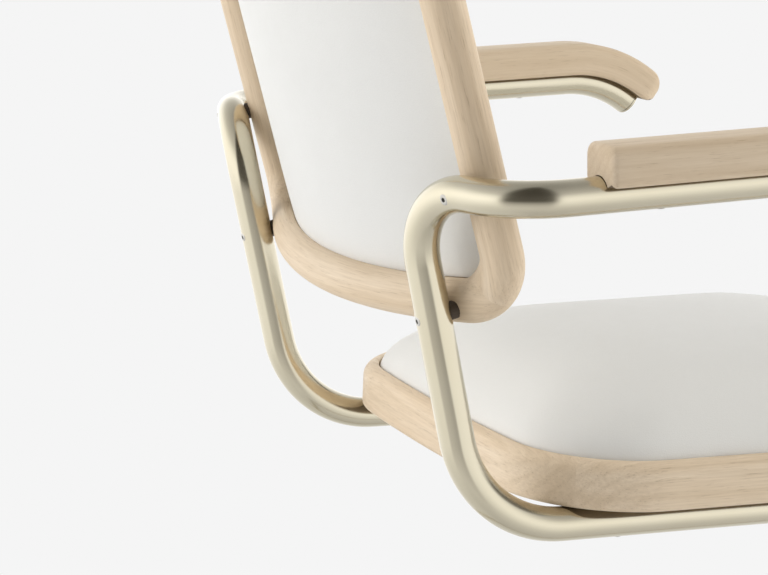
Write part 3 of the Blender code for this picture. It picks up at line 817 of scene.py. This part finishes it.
def arm_pad(name, side, shift):
    """A wooden pad along the arm and its droop, square behind and rounded past the tube's end."""
    arm_corner = arm_point(side, ARM_REACH)
    last = arm_corner + DROOP_FORWARD * (ARM_TAIL + PAD_OVERHANG)
    spine = filled(rounded_path([arm_point(side, PAD_START), arm_corner, last], [DROOP_BEND]), 0.02)
    ways = headings(spine)
    far = lengths(spine)
    tip = far[-1] - PAD_TIP
    groove_end = far[-1] - PAD_OVERHANG + GROOVE_PAST
    centre = (PAD_LOW + PAD_TOP) / 2
    tall = (PAD_TOP - PAD_LOW) / 2
    shaded_reach = PAD_WIDTH / 2 - PAD_LOW_ROUND
    stations = []
    for k in range(PAD_SOFT_STEPS + 1):
        ahead = PAD_SOFT * (1.0 - math.cos(math.pi / 2 * k / PAD_SOFT_STEPS))
        shrink = PAD_SOFT * (1.0 - math.sin(math.pi / 2 * k / PAD_SOFT_STEPS))
        wide = 1.0 - shrink * 2 / PAD_WIDTH
        high = 1.0 - shrink / tall
        stations.append((spine[0] + ways[0] * ahead, ways[0], ahead, wide, high, 0.0))
    for place, way, u in zip(spine, ways, far):
        if PAD_SOFT * 1.5 < u < tip - 0.001:
            stations.append((place, way, u, 1.0, 1.0, 0.0))
    for k in range(TIP_STEPS + 1):
        ahead = PAD_TIP * math.sin(math.pi / 2 * k / TIP_STEPS)
        size = max(math.cos(math.pi / 2 * k / TIP_STEPS), TIP_LEAST)
        wide = TIP_WIDTH + (1.0 - TIP_WIDTH) * size
        stations.append((last - DROOP_FORWARD * (PAD_TIP - ahead), DROOP_FORWARD, tip + ahead,
                         wide, size, TIP_DROP * (1.0 - size)))
    rows = []
    spots = []
    for place, way, u, wide, high, drop in stations:
        up = way.cross(Vector((1.0, 0.0, 0.0)))
        outer, groove = pad_section(u < groove_end)
        section = [(x * wide, centre - drop + (v - centre) * high) for x, v in outer]
        if u < groove_end:
            section += groove
        else:
            section += [(x * wide, centre - drop + (v - centre) * high) for x, v in groove]
        rows.append([place + Vector((x, 0.0, 0.0)) + up * v for x, v in section])
        spots.append([(u + shift, x, v) for x, v in section])

    def beneath(face):
        return face.normal.z < -0.6 and abs(abs(face.center.x) - ARM_HALF) < shaded_reach

    ob = skin(name + "_fine", rows, pairs(spots), ARM_WOOD_SHADED, sharp=50.0)
    # Painted shade: the downward faces picked by beneath, between the pad's lower corners, are
    # painted dark brown.
    line_with(ob, UNDERSIDE_SHADE, beneath)
    settle(ob, name)


arm_pad("arm_pad_left", 1, 11.3)
arm_pad("arm_pad_right", -1, 17.9)


# Small parts

def turned(name, place, axis, profile, steps, material, socket=()):
    """A turned piece from (radius, height) pairs; socket names the rows that are six-sided."""
    axis = Vector(axis).normalized()
    across = axis.orthogonal().normalized()
    up = axis.cross(across)
    rows = []
    spots = []
    for number, (radius, height) in enumerate(profile):
        ring = []
        for k in range(steps):
            angle = 2 * math.pi * k / steps
            r = radius
            if number in socket:
                r = radius / math.cos((angle + math.pi / 6) % (math.pi / 3) - math.pi / 6)
            ring.append((math.cos(angle) * r, math.sin(angle) * r))
        rows.append([place + across * a + up * b + axis * height for a, b in ring])
        spots.append([(height, a, b) for a, b in ring])
    return skin(name, rows, pairs(spots), material, sharp=35.0)


def axis_of(node):
    """A screw's axis towards its head, its head's top and its length."""
    co = np.array([v.co for v in NODES[node].data.vertices])
    middle = co.mean(axis=0)
    _, ways = np.linalg.eigh(np.cov((co - middle).T))
    way = ways[:, 2]
    along = (co - middle) @ way
    off = np.linalg.norm(co - middle - along[:, None] * way, axis=1)
    if along[off.argmax()] < 0:
        way = -way
        along = -along
    return Vector(way), Vector(middle + way * along.max()), float(along.max() - along.min())


def screw(node):
    """A low-headed screw with a six-sided socket."""
    axis, top, length = axis_of(node)
    head = SCREW_HEAD
    rise = SCREW_RISE
    profile = [(0.0002, -0.00006), (0.00150, -0.00006), (0.00155, -0.00003), (0.0017, 0.0)]
    profile += [(head * 0.70, 0.0), (head * 0.88, -rise * 0.18), (head, -rise * 0.55)]
    profile += [(head, -rise + 0.0001), (head - 0.0001, -rise), (SCREW_RADIUS, -rise)]
    profile += [(SCREW_RADIUS, -length + 0.0004), (SCREW_RADIUS - 0.0004, -length)]
    profile.append((0.0002, -length))
    ob = turned(node + "_fine", top, axis, profile, 36, STEEL, socket=(1, 2, 3))
    # Painted shade: the faces within SOCKET of the head's top, the socket's inside, are painted
    # near-black.
    line_with(ob, SHADE, lambda face: (face.center - top).length < SOCKET)
    settle(ob, node)


def plug(node, side):
    """A plain domed plug in the arm's open end."""
    path = tube_path(side)
    radius = TUBE_RADIUS * 0.965
    profile = [(0.0002, -0.006), (0.0085, -0.006), (0.0085, GAP), (radius, GAP), (radius, 0.0012)]
    profile += arc((radius - 0.0015, 0.0012), 0.0015, 30.0, 90.0, 2)
    profile += [(radius * 0.6, 0.0030), (0.0002, 0.0033)]
    out = path[0] - path[1]
    settle(turned(node + "_fine", path[0], out, profile, 40, METAL), node)


for node in NODES:
    if "_screw_" in node:
        screw(node)
for name, side in SIDES.items():
    plug("arm_plug_" + name, side)

KEPT = {"spacer": DARK, "glide": PALE, "board": PLYWOOD, "sleeve": STEEL}
for node, ob in NODES.items():
    for word, material in KEPT.items():
        if word in node:
            ob.data.materials.clear()
            ob.data.materials.append(material)


# Stage, light and camera

BACKGROUND = 0.913
EVEN_LIGHT = 1.55
MIRRORED_LIGHT = (1.30, 1.58)
FLOOR_SIZE = 80.0
FLOOR_FADE = (0.5, 0.85)
TO_CAMERA = (-0.915, 0.4035, 0.0)
TO_LEFT = (0.4035, 0.915, 0.0)
CAMERA_PLACE = Vector((-1.662633, 0.917791, 0.865842))
CAMERA_YAW = 0.415
CAMERA_PITCH = 0.185
CAMERA_ROLL = math.radians(-2.38)
FOCAL_PIXELS = 2460.458
IMAGE_WIDTH = 768
SENSOR_WIDTH = 36.0
LAMP_SIZE = 1.8
LAMP_AIM = Vector((0.0, 0.0, 0.5))


def floor_paint():
    """A pale floor that keeps the chair's shadow near it and fades into the background."""
    p = Paint("pale_floor")
    p.tree.nodes.remove(p.shader)
    place = p.place()
    path = p.node("LightPath").outputs
    seen = p.maths("MAXIMUM", path["Is Camera Ray"], path["Is Transmission Ray"])
    away = p.node("VectorMath", {"operation": "LENGTH"}, i0=place).outputs["Value"]
    tone = p.ramp(p.noise(place, 3.0), [(0.3, (0.84, 0.84, 0.84)), (0.7, (0.86, 0.86, 0.86))])
    near = p.node("BsdfDiffuse", Color=tone)
    glow = p.node("Emission", Color=(1.0, 1.0, 1.0, 1.0), Strength=BACKGROUND)
    faded = p.maths("MULTIPLY", seen, p.spread(away, *FLOOR_FADE, 0.0, 1.0))
    p.shade("Material Output", p.blend(faded, near, glow))
    return p.mat


def heading(degrees):
    """A level direction, turned left from the camera's."""
    turn = math.radians(degrees)
    return tuple(c * math.cos(turn) + l * math.sin(turn) for c, l in zip(TO_CAMERA, TO_LEFT))


def world_light():
    """Soft light of a pale room, brightest at eye level, dark at the camera and in one corner."""
    world = bpy.data.worlds.new("studio")
    bpy.context.scene.world = world
    p = Nodes(world)
    way = p.node("TexCoord").outputs["Generated"]
    high = p.dot(way, (0.0, 0.0, 1.0))
    level = p.node("VectorMath", {"operation": "MULTIPLY"}, i0=way, i1=(1.0, 1.0, 0.0))
    unit = p.node("VectorMath", {"operation": "NORMALIZE"}, i0=level.outputs["Vector"])
    flat = unit.outputs["Vector"]
    tones = [(0.0, 0.48), (0.065, 0.54), (0.18, 0.64), (0.25, 0.74), (0.33, 0.84), (0.45, 0.97),
             (0.55, 0.97), (0.63, 0.88), (0.71, 0.68), (0.785, 0.50), (0.885, 0.40), (1.0, 0.27)]
    stops = [(place, (tone, tone, tone)) for place, tone in tones]
    room = p.ramp(p.spread(high, -1.0, 1.0, 0.0, 1.0), stops)
    front = p.maths("MULTIPLY", p.spread(p.dot(flat, heading(6.0)), 0.79, 0.875, 0.0, 1.0),
                    p.spread(high, -0.75, -0.05, 0.05, 0.95))
    band = p.maths("MULTIPLY", p.spread(high, 0.03, 0.2, 0.0, 1.0),
                   p.spread(high, 0.65, 0.85, 1.0, 0.0))
    aside = p.spread(p.dot(flat, heading(-110.0)), 0.88, 0.97, 0.0, 0.85)
    corner = p.maths("MULTIPLY", aside, band)
    colour = p.mix(p.maths("MAXIMUM", front, corner), room, (0.030, 0.026, 0.020))
    beside = p.dot(flat, TO_LEFT)
    even = p.node("Background", Color=colour, Strength=EVEN_LIGHT)
    sides = p.spread(beside, -1.0, 1.0, *MIRRORED_LIGHT)
    mirrored = p.node("Background", Color=colour, Strength=sides)
    shown = p.node("Background", Color=(1.0, 1.0, 1.0, 1.0), Strength=BACKGROUND)
    path = p.node("LightPath").outputs
    seen = p.maths("MAXIMUM", path["Is Camera Ray"], path["Is Transmission Ray"])
    p.shade("World Output", p.blend(seen, p.blend(path["Is Glossy Ray"], even, mirrored), shown))


def lamp(name, place, power, colour):
    light = bpy.data.lights.new(name, "AREA")
    light.shape = "SQUARE"
    light.size = LAMP_SIZE
    light.energy = power
    light.color = colour
    ob = bpy.data.objects.new(name, light)
    bpy.context.scene.collection.objects.link(ob)
    ob.location = place
    ob.rotation_mode = "QUATERNION"
    ob.rotation_quaternion = (LAMP_AIM - Vector(place)).to_track_quat("-Z", "Y")
    ob.visible_glossy = False


def photo_camera():
    """The photograph's camera: its place, its level heading, its tilt down and its small roll."""
    level = Vector((math.cos(CAMERA_YAW), -math.sin(CAMERA_YAW), 0.0))
    ahead = level * math.cos(CAMERA_PITCH) - Vector((0.0, 0.0, math.sin(CAMERA_PITCH)))
    flat = ahead.cross(Vector((0.0, 0.0, 1.0))).normalized()
    under = ahead.cross(flat)
    right = flat * math.cos(CAMERA_ROLL) + under * math.sin(CAMERA_ROLL)
    down = under * math.cos(CAMERA_ROLL) - flat * math.sin(CAMERA_ROLL)
    data = bpy.data.cameras.new("photo")
    data.sensor_width = SENSOR_WIDTH
    data.sensor_fit = "HORIZONTAL"
    data.lens = FOCAL_PIXELS / IMAGE_WIDTH * SENSOR_WIDTH
    data.clip_start = 0.05
    data.clip_end = 200.0
    ob = bpy.data.objects.new("photo", data)
    bpy.context.scene.collection.objects.link(ob)
    turned_to = Matrix((right, -down, -ahead)).transposed().to_4x4()
    ob.matrix_world = Matrix.Translation(CAMERA_PLACE) @ turned_to
    bpy.context.scene.camera = ob


bpy.ops.mesh.primitive_plane_add(size=FLOOR_SIZE)
floor = bpy.context.active_object
floor.name = "floor"
floor.data.materials.append(floor_paint())
floor.visible_glossy = False

world_light()
lamp("key", (0.55, 2.55, 0.6), 24.5, (0.985, 1.0, 1.02))
lamp("fill", (-1.05, -2.4, 0.9), 28.0, (1.02, 1.0, 0.95))
lamp("top", (0.0, 0.0, 3.2), 18.0, (1.0, 1.0, 0.98))
photo_camera()
bpy.context.scene.view_settings.view_transform = "Standard"
